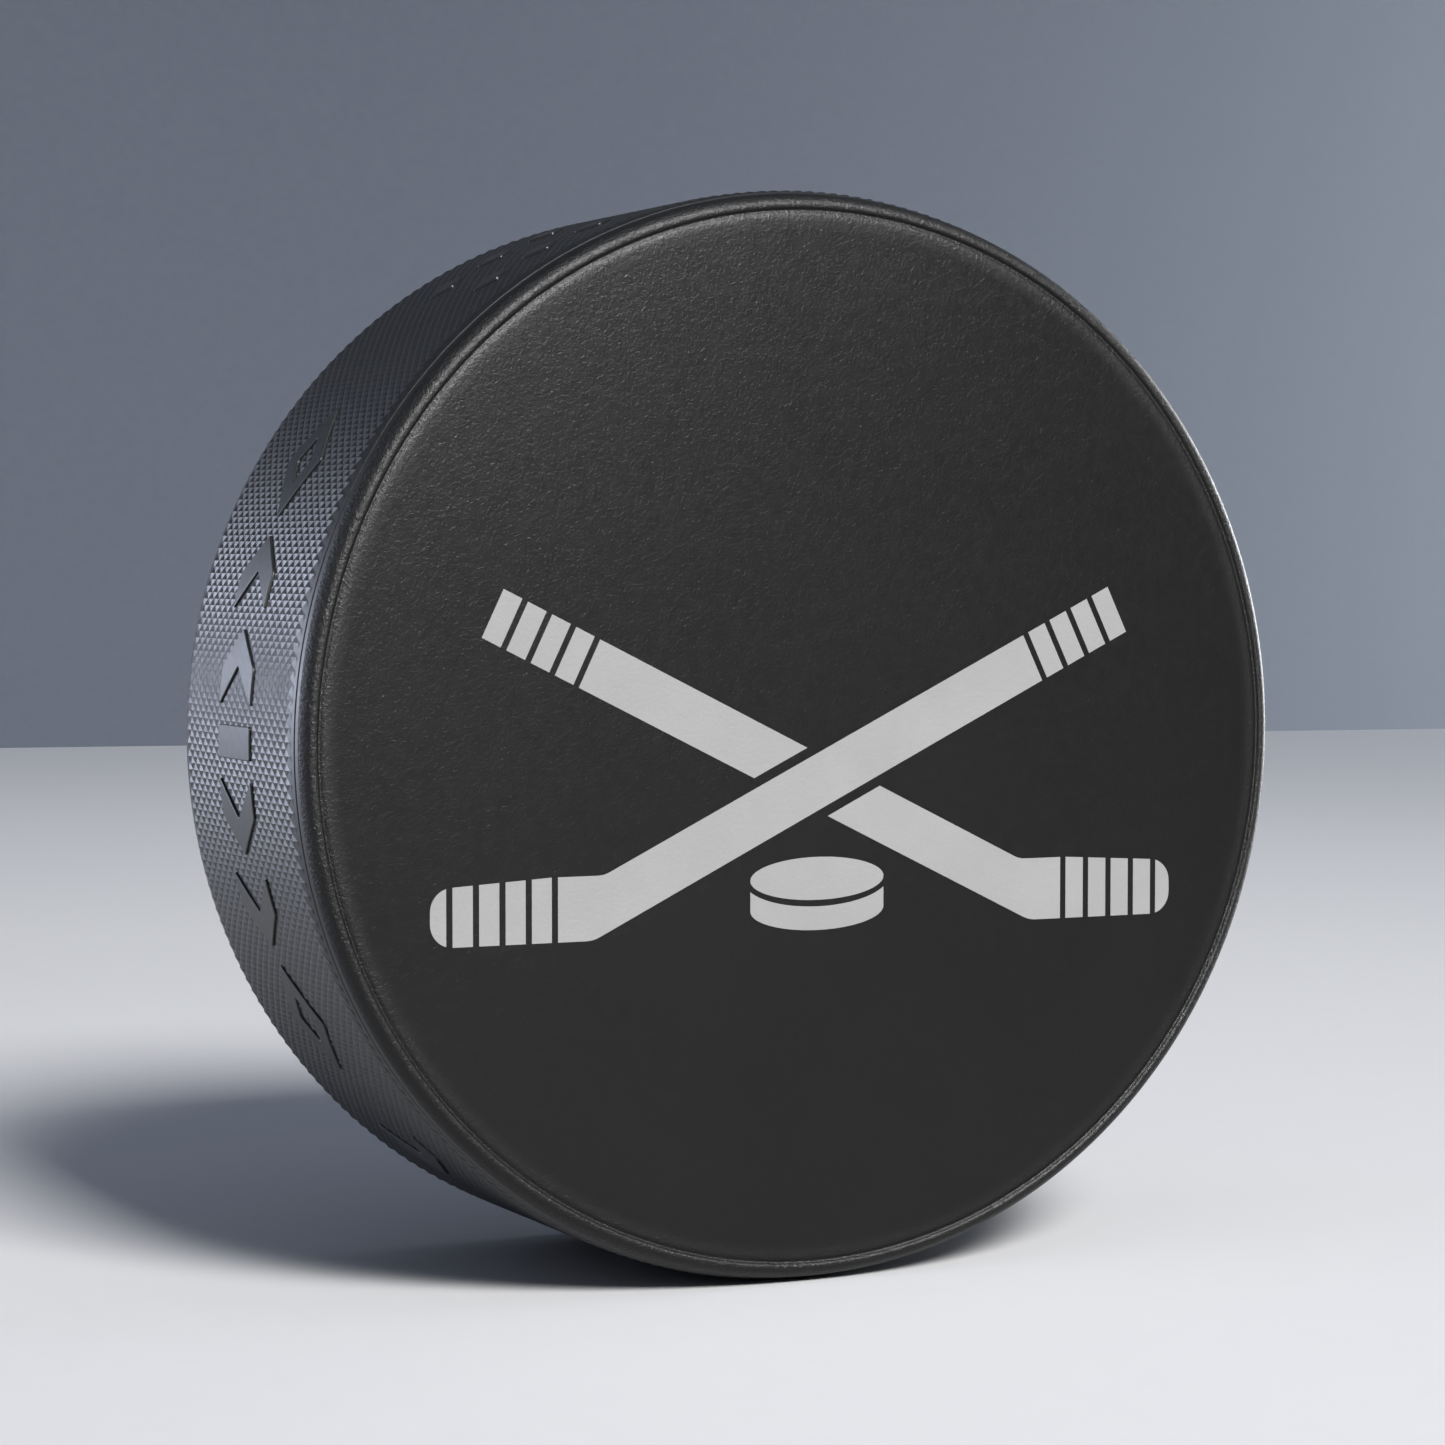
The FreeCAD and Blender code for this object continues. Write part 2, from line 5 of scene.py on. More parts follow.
import bmesh
import bpy
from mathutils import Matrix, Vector


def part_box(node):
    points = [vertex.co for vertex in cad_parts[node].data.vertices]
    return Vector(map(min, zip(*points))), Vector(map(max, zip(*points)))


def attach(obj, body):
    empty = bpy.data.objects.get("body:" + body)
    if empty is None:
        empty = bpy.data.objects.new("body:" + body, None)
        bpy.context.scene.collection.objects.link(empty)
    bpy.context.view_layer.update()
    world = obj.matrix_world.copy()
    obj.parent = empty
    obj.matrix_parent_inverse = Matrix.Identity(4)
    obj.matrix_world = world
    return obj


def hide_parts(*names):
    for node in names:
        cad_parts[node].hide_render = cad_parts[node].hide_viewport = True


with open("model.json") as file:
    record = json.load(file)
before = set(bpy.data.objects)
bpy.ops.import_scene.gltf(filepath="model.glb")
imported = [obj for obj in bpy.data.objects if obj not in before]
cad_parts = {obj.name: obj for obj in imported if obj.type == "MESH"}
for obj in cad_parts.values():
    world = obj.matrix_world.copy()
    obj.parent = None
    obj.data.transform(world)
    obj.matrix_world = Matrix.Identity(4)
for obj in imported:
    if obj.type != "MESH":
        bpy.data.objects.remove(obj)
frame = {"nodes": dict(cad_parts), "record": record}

# An ice hockey puck that stands on its edge, in metres, in the frame of the CAD model.
#
# Its moulding is worked out lying down and centred: x and y across the faces, z along the
# axis and out of the printed face. upright() turns that into the frame, where the printed
# face looks along -Y. Polar angles start at +X and turn towards +Z, seen from the front.

MM = 0.001
FULL_TURN = 2 * math.pi
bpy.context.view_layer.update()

mounts = {mount["name"]: Vector(mount["pos_m"]) for mount in frame["record"]["mounts"]}
puck_low, puck_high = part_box("rubber_puck")

# ---- sizes of the moulding ----

AXIS_HEIGHT = mounts["back_face"].z
FACE_LEVEL = mounts["back_face"].y
LAND_LEVEL = mounts["back_bead"].y
OVERALL_RADIUS = (puck_high.x - puck_low.x) / 2
CREST_RADIUS = (puck_high.z - puck_low.z) / 2

FACE_RADIUS = 35.6 * MM
EASE_RADIUS, EASE_TILT = 3.6 * MM, math.radians(7)
ROLL_RADIUS, ROLL_TILT = 0.7 * MM, math.radians(34)
HOLLOW_RADIUS = 0.14 * MM
BEAD_RADIUS = 0.25 * MM
CORNER_RADIUS, CORNER_TILT = 0.62 * MM, math.radians(42)
STRIP_RADIUS = OVERALL_RADIUS - 0.27 * MM
STRIP_DRAFT = math.radians(14)
STRIP_END_LEVEL = LAND_LEVEL - 1.7 * MM
PARTING_LEVEL = LAND_LEVEL - 1.28 * MM
PARTING_WIDTH = 0.16 * MM
PARTING_DEPTH = 0.08 * MM

ROUND_STEPS = 512
EASE_STEPS = 3
ROLL_STEPS = 5
HOLLOW_STEPS = 5
BEAD_STEPS = 4
CORNER_STEPS = 5
OUTER_STEPS = 6
HUB_STEPS = 16
RING_SHRINK = 0.8

KNURL_END_LEVEL = LAND_LEVEL - 1.75 * MM
KNURL_ROWS = 35
VALLEY_RADIUS = CREST_RADIUS - 0.09 * MM
CREST_WEAR = 0.012 * MM
WEAR_SEED = 4

# ---- sizes of the raised edge marks ----

MARK_TOP_RADIUS = OVERALL_RADIUS
MARK_ROOT_RADIUS = CREST_RADIUS - 0.4 * MM
MARK_HEIGHT = 6.5 * MM
MARK_CORNER = 0.18 * MM
MARK_EDGE = 0.08 * MM
MARK_STEP = 0.6 * MM
MARK_CUT_SHIFT = MARK_STEP / 3
BEVEL_SEGMENTS = 3
ROUND_PROFILE = 0.5
WALL_NORMAL_LIMIT = 0.5
SMOOTH_BELOW = math.radians(9)
BAR_WIDTH = 2.3 * MM
CHEVRON_WIDTH = 5.3 * MM
CHEVRON_ARM = 2.6 * MM
LOZENGE_WIDTH = 8.8 * MM
LOZENGE_OPENING = 0.42
STUD_WIDTH = 3.0 * MM
STUD_HEIGHT = 2.8 * MM
STUD_ROWS = (5.0 * MM, -3.2 * MM)

# polar angles in degrees: of each group's middle, and of its marks from there
GROUP_MIDDLES = (180, 0)
NEAR_CHEVRON, FAR_CHEVRON, LOZENGE, LONE_CHEVRON = 7.75, 17.75, 30.25, 49.75
STUDS = (56, 62.5, 69)


def upright(x, y, z):
    """A point of the lying puck in the frame of the standing one."""
    return Vector((x, -z, y + AXIS_HEIGHT))


def around(radius, angle, level):
    """The point at a polar angle in radians on the standing puck."""
    return upright(radius * math.cos(angle), radius * math.sin(angle), level)


# ---- the moulding ----


def bend(section, radius, start, end, steps):
    """Carries the section on along an arc, from one outward tilt to another.

    A positive radius makes a round and a negative one a hollow.
    """
    first_radius, first_level = section[-1]
    for step in range(1, steps + 1):
        tilt = start + (end - start) * step / steps
        across = radius * (math.sin(tilt) - math.sin(start))
        up = radius * (math.cos(tilt) - math.cos(start))
        section.append((first_radius + across, first_level + up))


def rim_section():
    """The section from the face's edge to the knurl, as (radius, level), and the strip's start.

    The face eases into a roll that leads down to a narrow groove. A small bead rises from
    the groove to the land, and a round corner leads on to the smooth strip with its draft,
    which the mould's parting line crosses.
    """
    section = [(FACE_RADIUS, FACE_LEVEL)]
    bend(section, EASE_RADIUS, 0, EASE_TILT, EASE_STEPS)
    bend(section, ROLL_RADIUS, EASE_TILT, ROLL_TILT, ROLL_STEPS)
    rise = LAND_LEVEL - section[-1][1]
    drop = HOLLOW_RADIUS * math.cos(ROLL_TILT) + BEAD_RADIUS - rise
    # the tilt where the hollow passes into the bead, so that the bead tops out at the land
    bead_tilt = -math.acos(drop / (HOLLOW_RADIUS + BEAD_RADIUS))
    bend(section, -HOLLOW_RADIUS, ROLL_TILT, bead_tilt, HOLLOW_STEPS)
    bend(section, BEAD_RADIUS, bead_tilt, 0, BEAD_STEPS)
    bend(section, CORNER_RADIUS, 0, CORNER_TILT, CORNER_STEPS)

    # the radius that carries the corner on to the strip's drafted line
    strip_tilt = math.pi / 2 - STRIP_DRAFT
    slope = math.tan(STRIP_DRAFT)
    run = STRIP_RADIUS - section[-1][0]
    fall = section[-1][1] - STRIP_END_LEVEL
    across = math.sin(strip_tilt) - math.sin(CORNER_TILT)
    down = math.cos(CORNER_TILT) - math.cos(strip_tilt)
    outer_radius = (run - slope * fall) / (across - slope * down)
    bend(section, outer_radius, CORNER_TILT, strip_tilt, OUTER_STEPS)
    strip_start = len(section) - 1
    for level, depth in (
        (PARTING_LEVEL + PARTING_WIDTH / 2, 0),
        (PARTING_LEVEL, PARTING_DEPTH),
        (PARTING_LEVEL - PARTING_WIDTH / 2, 0),
        (STRIP_END_LEVEL, 0),
    ):
        section.append((STRIP_RADIUS - slope * (level - STRIP_END_LEVEL) - depth, level))
    return section, strip_start


class Moulding:
    """The vertices, faces and creases of the moulding while it is being built.

    A banded face belongs to the strip or the knurl, and takes the second material.
    """

    def __init__(self):
        self.vertices = []
        self.faces = []
        self.banded = []
        self.creases = set()

    def add(self, radius, angle, level):
        self.vertices.append(around(radius, angle, level))
        return len(self.vertices) - 1

    def ring(self, radius, level, count=ROUND_STEPS):
        """Evenly spaced vertices all round, at one radius and level."""
        return [self.add(radius, FULL_TURN * step / count, level) for step in range(count)]

    def face(self, corners, banded=False):
        self.faces.append(corners)
        self.banded.append(banded)

    def crease(self, here, there):
        self.creases.add((min(here, there), max(here, there)))

    def crease_ring(self, ring):
        for here, there in zip(ring, ring[1:] + ring[:1]):
            self.crease(here, there)

    def join(self, inner, outer, banded=False):
        """Joins two rings; the outer one has as many vertices as the inner one or twice as many."""
        count = len(inner)
        for step in range(count):
            here, there = inner[step], inner[(step + 1) % count]
            if len(outer) == count:
                self.face((here, outer[step], outer[(step + 1) % count], there), banded)
                continue
            first, middle = outer[2 * step], outer[2 * step + 1]
            last = outer[(2 * step + 2) % len(outer)]
            self.face((here, first, middle))
            self.face((here, middle, there))
            self.face((there, middle, last))


def add_rim_and_face(moulding, side):
    """One face with its rim, from the knurl's zigzag edge inwards to the axis."""
    section, strip_start = rim_section()
    rings = [moulding.ring(radius, side * level) for radius, level in section]
    for index, (inner, outer) in enumerate(zip(rings, rings[1:])):
        moulding.join(inner, outer, banded=index >= strip_start)
    for ring in rings[strip_start + 1 : -1]:
        moulding.crease_ring(ring)
    outer, radius = rings[0], FACE_RADIUS
    while len(outer) > HUB_STEPS:
        radius *= RING_SHRINK
        inner = moulding.ring(radius, side * FACE_LEVEL, len(outer) // 2)
        moulding.join(inner, outer)
        outer = inner
    hub = moulding.add(0, 0, side * FACE_LEVEL)
    for here, there in zip(outer, outer[1:] + outer[:1]):
        moulding.face((hub, here, there))
    return rings[-1]


def add_knurl(moulding, edges):
    """Low pyramids with sharp valleys between them, all round the edge.

    The lattice has a place for every half diamond: steps around and rows along the axis.
    Places where both add up to an even number are diamonds, and the others are corners,
    at which four diamonds meet. edges holds the strip's last ring on each side.
    """
    last_row = KNURL_ROWS // 2
    half_pitch = KNURL_END_LEVEL / (last_row + 1)
    half_step = FULL_TURN / ROUND_STEPS
    chance = random.Random(WEAR_SEED)
    corners = {}
    for row in range(-last_row - 1, last_row + 2):
        for step in range(ROUND_STEPS):
            if (step + row) % 2:
                angle = step * half_step
                corners[step, row] = moulding.add(VALLEY_RADIUS, angle, row * half_pitch)
    for row in range(-last_row, last_row + 1):
        for step in range(ROUND_STEPS):
            if (step + row) % 2:
                continue
            crest_radius = CREST_RADIUS - CREST_WEAR * chance.random()
            crest = moulding.add(crest_radius, step * half_step, row * half_pitch)
            valley = []
            for across, along in ((1, 0), (0, 1), (-1, 0), (0, -1)):
                valley.append(corners[(step + across) % ROUND_STEPS, row + along])
            for this in range(4):
                following = (this + 1) % 4
                moulding.face((crest, valley[this], valley[following]), True)
                moulding.crease(crest, valley[this])
                moulding.crease(valley[this], valley[following])
    for side, ring in edges.items():
        zigzag = []
        for step in range(ROUND_STEPS):
            row = last_row + (step + last_row + 1) % 2
            zigzag.append(corners[step, side * row])
        moulding.join(zigzag, ring, banded=True)


def make_moulding(materials):
    """The rubber disc: both faces and rims and the knurled edge, as one closed mesh."""
    moulding = Moulding()
    edges = {side: add_rim_and_face(moulding, side) for side in (1, -1)}
    add_knurl(moulding, edges)
    mesh = bpy.data.meshes.new("rubber_moulding")
    mesh.from_pydata(moulding.vertices, [], moulding.faces)
    for material in materials:
        mesh.materials.append(material)
    mesh.polygons.foreach_set("material_index", [int(banded) for banded in moulding.banded])
    shell = bmesh.new()
    shell.from_mesh(mesh)
    bmesh.ops.recalc_face_normals(shell, faces=shell.faces)
    for face in shell.faces:
        face.smooth = True
    for edge in shell.edges:
        ends = sorted(vertex.index for vertex in edge.verts)
        edge.smooth = tuple(ends) not in moulding.creases
    shell.to_mesh(mesh)
    shell.free()
    piece = bpy.data.objects.new("rubber_moulding", mesh)
    bpy.context.scene.collection.objects.link(piece)
    return piece


# ---- the raised edge marks ----


def lozenge(width, height, middle=0.0):
    """A diamond on its point, with its middle at a level along the puck's axis."""
    return [
        (-width / 2, middle),
        (0, middle - height / 2),
        (width / 2, middle),
        (0, middle + height / 2),
    ]


def chevron(side):
    """Two arms that meet in a point, which looks to one side around the edge."""
    half = MARK_HEIGHT / 2
    reach = CHEVRON_WIDTH / 2
    return [
        (-side * reach, -half),
        (side * (CHEVRON_ARM - reach), -half),
        (side * reach, 0),
        (side * (CHEVRON_ARM - reach), half),
        (-side * reach, half),
        (side * (reach - CHEVRON_ARM), 0),
    ]


def bar():
    """A plain bar that lies along the puck's axis."""
    side, end = BAR_WIDTH / 2, MARK_HEIGHT / 2
    return [(-side, -end), (side, -end), (side, end), (-side, end)]


def mark_list():
    """Every mark of one group: its angle from the group's middle, and its outlines."""
    ring = [
        lozenge(LOZENGE_WIDTH, MARK_HEIGHT),
        lozenge(LOZENGE_WIDTH * LOZENGE_OPENING, MARK_HEIGHT * LOZENGE_OPENING),
    ]
    marks = [(0, [bar()]), (LONE_CHEVRON, [chevron(1)])]
    for side in (1, -1):
        marks += [
            (side * NEAR_CHEVRON, [chevron(side)]),
            (side * FAR_CHEVRON, [chevron(side)]),
            (side * LOZENGE, ring),
        ]
    for angle in STUDS:
        for row in STUD_ROWS:
            marks.append((-angle, [lozenge(STUD_WIDTH, STUD_HEIGHT, row)]))
    return marks


def flat_block(outlines):
    """A block with the outline's shape, its hole cut out, lying flat with its root at 0."""
    block = bmesh.new()
    loops = []
    for outline in outlines:
        corners = [block.verts.new((x, y, 0)) for x, y in outline]
        loops.append([block.edges.new(pair) for pair in zip(corners, corners[1:] + corners[:1])])
    if len(outlines) == 1:
        block.faces.new(block.verts)
    else:
        bmesh.ops.bridge_loops(block, edges=loops[0] + loops[1])
    raised = bmesh.ops.extrude_face_region(block, geom=block.faces[:])["geom"]
    height = MARK_TOP_RADIUS - MARK_ROOT_RADIUS
    tops = [item for item in raised if isinstance(item, bmesh.types.BMVert)]
    bmesh.ops.translate(block, verts=tops, vec=(0, 0, height))
    bmesh.ops.recalc_face_normals(block, faces=block.faces)
    return block, height


def soften(block, height):
    """Rounds the upright corners and the rim of the top."""

    def is_upright(edge):
        return abs(edge.verts[0].co.z - edge.verts[1].co.z) > height / 2

    upright_edges = [edge for edge in block.edges if is_upright(edge)]
    finish = {"segments": BEVEL_SEGMENTS, "profile": ROUND_PROFILE, "affect": "EDGES"}
    bmesh.ops.bevel(block, geom=upright_edges, offset=MARK_CORNER, **finish)
    rim = [
        edge
        for edge in block.edges
        if all(vertex.co.z > height / 2 for vertex in edge.verts)
        and any(abs(face.normal.z) < WALL_NORMAL_LIMIT for face in edge.link_faces)
    ]
    bmesh.ops.bevel(block, geom=rim, offset=MARK_EDGE, **finish)


def bend_round_edge(block, angle):
    """Cuts the flat block into narrow slices and wraps it round the puck's edge."""
    reach = max(abs(vertex.co.x) for vertex in block.verts)
    slices = int(reach / MARK_STEP) + 1
    for index in range(-slices, slices + 1):
        everything = block.verts[:] + block.edges[:] + block.faces[:]
        cut = (index * MARK_STEP + MARK_CUT_SHIFT, 0, 0)
        bmesh.ops.bisect_plane(block, geom=everything, plane_co=cut, plane_no=(1, 0, 0))
    for vertex in block.verts:
        along, level, height = vertex.co
        turned = math.radians(angle) + along / MARK_TOP_RADIUS
        vertex.co = around(MARK_ROOT_RADIUS + height, turned, level)


def make_edge_marks(material):
    """The marks that stand on the knurled edge, as closed blocks rooted in the moulding."""
    mesh = bpy.data.meshes.new("raised_edge_marks")
    whole = bmesh.new()
    for middle in GROUP_MIDDLES:
        for angle, outlines in mark_list():
            block, height = flat_block(outlines)
            soften(block, height)
            bend_round_edge(block, middle + angle)
            bmesh.ops.recalc_face_normals(block, faces=block.faces)
            block.to_mesh(mesh)
            whole.from_mesh(mesh)
            block.free()
    bmesh.ops.triangulate(whole, faces=[face for face in whole.faces if len(face.verts) > 4])
    for face in whole.faces:
        face.smooth = True
    for edge in whole.edges:
        edge.smooth = not edge.is_manifold or edge.calc_face_angle() < SMOOTH_BELOW
    whole.to_mesh(mesh)
    whole.free()
    mesh.materials.append(material)
    piece = bpy.data.objects.new("raised_edge_marks", mesh)
    bpy.context.scene.collection.objects.link(piece)
    return piece


# ---- materials ----

NOISE_LOW, NOISE_HIGH = 0.3, 0.7

FACE_IOR, BAND_IOR = 1.34, 1.5
FACE_DARK, FACE_PALE = (0.001, 0.001, 0.001), (0.0016, 0.0016, 0.0016)
BAND_DARK, BAND_PALE = (0.0018, 0.002, 0.0023), (0.0026, 0.0028, 0.0031)
INK_DARK, INK_PALE = (0.222, 0.222, 0.222), (0.238, 0.238, 0.238)
FACE_ROUGHNESS = (0.33, 0.37)
BAND_ROUGHNESS = (0.42, 0.48)
INK_ROUGHNESS = (0.5, 0.6)

GRAIN_SCALE = 3600
FINE_GRAIN_SCALE = 8000
WRINKLE_SHARE, PORE_SHARE = 0.75, 0.25
GRAIN_DEPTH = 0.038 * MM
BAND_GRAIN_DEPTH = 0.004 * MM
SHEEN_SCALE = GRAIN_SCALE / 3
BAND_SHEEN_SCALE = GRAIN_SCALE / 2
CLOUD_SCALE, BAND_CLOUD_SCALE, INK_CLOUD_SCALE = 70, 140, 210

RIM_RUB = 0.13
RUB_START, RUB_END = FACE_RADIUS - 0.5 * MM, FACE_RADIUS + 0.4 * MM
RIM_COARSENESS = 2.8
COARSE_START, COARSE_END = FACE_RADIUS, FACE_RADIUS + 0.8 * MM

FLOOR_DARK, FLOOR_PALE = (0.5, 0.505, 0.515), (0.52, 0.525, 0.535)
FLOOR_CLOUD_SCALE = 3.0
# painted shade: the backdrop's colour runs from a darker blue-grey on the left to a paler one on
# the right, standing in for light falling off across it
BACKDROP_SHADED, BACKDROP_LIT = (0.108, 0.124, 0.157), (0.205, 0.23, 0.27)
BACKDROP_SHADED_X, BACKDROP_LIT_X = 0.2, 0.56
BACKDROP_EASE = 2.0
MATT_ROUGHNESS = (0.75, 0.85)
MATT_SHEEN_SCALE = 400.0
MATT_GRAIN_SCALE = 1500.0
MATT_GRAIN_DEPTH = 0.01 * MM


class Nodes:
    """A new material's node tree, with short ways to add and link nodes."""

    def __init__(self, name):
        self.material = bpy.data.materials.new(name)
        self.material.use_nodes = True
        self.tree = self.material.node_tree
        self.shader = self.tree.nodes["Principled BSDF"]

    def add(self, kind, inputs=None, **settings):
        """A node with its settings; an input is another node's socket or a plain value."""
        node = self.tree.nodes.new(kind)
        for key, value in settings.items():
            setattr(node, key, value)
        for key, value in (inputs or {}).items():
            if isinstance(value, bpy.types.NodeSocket):
                self.tree.links.new(value, node.inputs[key])
            else:
                node.inputs[key].default_value = value
        return node

    def place(self):
        """The point being shaded, in the frame's metres."""
        return self.add("ShaderNodeTexCoord").outputs["Object"]

    def noise(self, scale, detail=2.0, roughness=0.5, distortion=0.0):
        """Noise of about scale ripples to the metre."""
        return self.add(
            "ShaderNodeTexNoise",
            {
                "Vector": self.place(),
                "Scale": scale,
                "Detail": detail,
                "Roughness": roughness,
                "Distortion": distortion,
            },
        ).outputs["Fac"]

    def ranged(self, value, low, high, from_low=0.0, from_high=1.0):
        """Goes from low to high, and no further, as value goes from from_low to from_high."""
        return self.add(
            "ShaderNodeMapRange",
            {
                "Value": value,
                "From Min": from_low,
                "From Max": from_high,
                "To Min": low,
                "To Max": high,
            },
        ).outputs["Result"]

    def combined(self, first, second, operation="ADD"):
        """The result of one step of arithmetic."""
        return self.add(
            "ShaderNodeMath", {0: first, 1: second}, operation=operation
        ).outputs["Value"]

    def tint(self, value, dark, pale, from_low=NOISE_LOW, from_high=NOISE_HIGH):
        """Colours the surface from dark to pale, as value goes from from_low to from_high."""
        share = self.ranged(value, 0.0, 1.0, from_low, from_high)
        mix = self.add("ShaderNodeMix", data_type="RGBA")
        self.tree.links.new(share, mix.inputs["Factor"])
        mix.inputs["A"].default_value = (*dark, 1)
        mix.inputs["B"].default_value = (*pale, 1)
        self.tree.links.new(mix.outputs["Result"], self.shader.inputs["Base Color"])

    def roughness(self, value, low, high, from_low=NOISE_LOW, from_high=NOISE_HIGH):
        """Roughens the surface from low to high, as value goes from from_low to from_high."""
        rough = self.ranged(value, low, high, from_low, from_high)
        self.tree.links.new(rough, self.shader.inputs["Roughness"])

    def bump(self, height, distance):
        """Raises the surface in its shading by distance where height is 1."""
        bump = self.add("ShaderNodeBump", {"Height": height, "Distance": distance})
        self.tree.links.new(bump.outputs["Normal"], self.shader.inputs["Normal"])


def grain(nodes):
    """Fine wrinkles of the moulded faces, as a height from 0 to 1."""
    wrinkles = nodes.noise(GRAIN_SCALE, detail=3.0, roughness=0.6, distortion=0.6)
    pores = nodes.noise(FINE_GRAIN_SCALE)
    return nodes.combined(
        nodes.ranged(wrinkles, 0.0, WRINKLE_SHARE), nodes.ranged(pores, 0.0, PORE_SHARE)
    )


def make_grained_rubber():
    """Moulded rubber with a leather grain, which is duller and coarser on the rim."""
    nodes = Nodes("grained_rubber")
    nodes.tint(nodes.noise(CLOUD_SCALE, detail=4.0), FACE_DARK, FACE_PALE)
    # the distance from the puck's axis, in the plane of the face
    offset = nodes.add(
        "ShaderNodeVectorMath",
        {0: nodes.place(), 1: (1, 0, 1), 2: (0, 0, -AXIS_HEIGHT)},
        operation="MULTIPLY_ADD",
    ).outputs["Vector"]
    radius = nodes.add("ShaderNodeVectorMath", {0: offset}, operation="LENGTH").outputs["Value"]
    rub = nodes.ranged(radius, 0.0, RIM_RUB, RUB_START, RUB_END)
    rough = nodes.ranged(nodes.noise(SHEEN_SCALE), *FACE_ROUGHNESS, NOISE_LOW, NOISE_HIGH)
    nodes.roughness(nodes.combined(rough, rub), 0.0, 1.0, 0.0, 1.0)
    nodes.shader.inputs["IOR"].default_value = FACE_IOR
    coarser = nodes.ranged(radius, 1.0, RIM_COARSENESS, COARSE_START, COARSE_END)
    nodes.bump(nodes.combined(grain(nodes), coarser, "MULTIPLY"), GRAIN_DEPTH)
    return nodes.material


def make_band_rubber():
    """The rubber of the strips, the knurl and the raised marks, with hardly any grain."""
    nodes = Nodes("band_rubber")
    nodes.tint(nodes.noise(BAND_CLOUD_SCALE, detail=4.0), BAND_DARK, BAND_PALE)
    nodes.roughness(nodes.noise(BAND_SHEEN_SCALE), *BAND_ROUGHNESS)
    nodes.shader.inputs["IOR"].default_value = BAND_IOR
    nodes.bump(nodes.noise(FINE_GRAIN_SCALE), BAND_GRAIN_DEPTH)
    return nodes.material


def make_ink():
    """Light grey ink, thin enough to show the grain of the rubber under it."""
    nodes = Nodes("printed_ink")
    nodes.tint(nodes.noise(INK_CLOUD_SCALE, detail=5.0), INK_DARK, INK_PALE)
    nodes.roughness(nodes.noise(SHEEN_SCALE), *INK_ROUGHNESS)
    nodes.bump(grain(nodes), GRAIN_DEPTH)
    return nodes.material


def finish_matt(nodes):
    """The dull, faintly uneven surface of the floor and the backdrop."""
    nodes.roughness(nodes.noise(MATT_SHEEN_SCALE), *MATT_ROUGHNESS)
    nodes.bump(nodes.noise(MATT_GRAIN_SCALE), MATT_GRAIN_DEPTH)


def make_floor_material():
    """Matt pale grey, a little cloudy."""
    nodes = Nodes("pale_floor")
    nodes.tint(nodes.noise(FLOOR_CLOUD_SCALE, detail=3.0), FLOOR_DARK, FLOOR_PALE)
    finish_matt(nodes)
    return nodes.material


def make_backdrop_material():
    """Matt blue-grey, paler towards the right; the darker left is painted shade, standing in for
    light that falls off across the backdrop.
    """
    nodes = Nodes("backdrop_grey_painted_shade")
    parts = nodes.add("ShaderNodeSeparateXYZ", {"Vector": nodes.place()})
    # painted shade: the colour darkens towards the left along x
    share = nodes.ranged(parts.outputs["X"], 0.0, 1.0, BACKDROP_SHADED_X, BACKDROP_LIT_X)
    eased = nodes.combined(share, BACKDROP_EASE, "POWER")
    nodes.tint(eased, BACKDROP_SHADED, BACKDROP_LIT, 0.0, 1.0)
    finish_matt(nodes)
    return nodes.material


# ---- the studio ----

# angles in degrees, the sensor and the lens in millimetres
CAMERA_AZIMUTH = -26.1356
CAMERA_ELEVATION = 2.6154
CAMERA_DISTANCE = 0.265681
AIM_YAW = 0.2266
AIM_PITCH = -0.1362
SENSOR_WIDTH = 36.0
LENS = 91.41

ROOM_LOW = (0.012, 0.013, 0.015)
ROOM_HIGH = (0.41, 0.46, 0.585)
ROOM_RAMP_START, ROOM_RAMP_END = 0.1, 0.85

# metres, and the wall's turn in degrees
FLOOR_REACH = 4.0
WALL_DISTANCE = 0.77
WALL_TURN = -10.2
WALL_HEIGHT = 3.0


def direction(azimuth, elevation):
    """The way from the puck to something, with azimuth 0 in front of the printed face."""
    across, up = math.radians(azimuth), math.radians(elevation)
    return Vector(
        (
            math.sin(across) * math.cos(up),
            -math.cos(across) * math.cos(up),
            math.sin(up),
        )
    )


def from_puck(azimuth, elevation, distance):
    """The point that far from the puck's middle."""
    return Vector((0, 0, AXIS_HEIGHT)) + direction(azimuth, elevation) * distance


def look_along(item, way):
    item.rotation_euler = way.to_track_quat("-Z", "Y").to_euler()


def add_camera():
    """The camera at the photograph's viewing angle."""
    camera = bpy.data.objects.new("camera", bpy.data.cameras.new("camera"))
    camera.data.sensor_width = SENSOR_WIDTH
    camera.data.lens = LENS
    camera.location = from_puck(CAMERA_AZIMUTH, CAMERA_ELEVATION, CAMERA_DISTANCE)
    aim = direction(CAMERA_AZIMUTH + AIM_YAW, CAMERA_ELEVATION + AIM_PITCH)
    look_along(camera, -aim)
    bpy.context.scene.collection.objects.link(camera)
    bpy.context.scene.camera = camera


def add_panel(name, place, target, size, power, colour, spread=180, lit=None):
    """A soft light that isn't itself seen, with its spread in degrees.

    It lights only the collection lit, if that is given.
    """
    lamp = bpy.data.lights.new(name, "AREA")
    lamp.shape = "RECTANGLE"
    lamp.size, lamp.size_y = size
    lamp.energy = power
    lamp.color = colour
    lamp.spread = math.radians(spread)
    panel = bpy.data.objects.new(name, lamp)
    panel.location = place
    look_along(panel, target - place)
    panel.visible_camera = False
    panel.light_linking.receiver_collection = lit
    bpy.context.scene.collection.objects.link(panel)


def add_sheet_of_stage(name, corners, material):
    """One flat sheet that isn't part of the object."""
    mesh = bpy.data.meshes.new(name)
    mesh.from_pydata(corners, [], [range(len(corners))])
    mesh.materials.append(material)
    item = bpy.data.objects.new(name, mesh)
    bpy.context.scene.collection.objects.link(item)


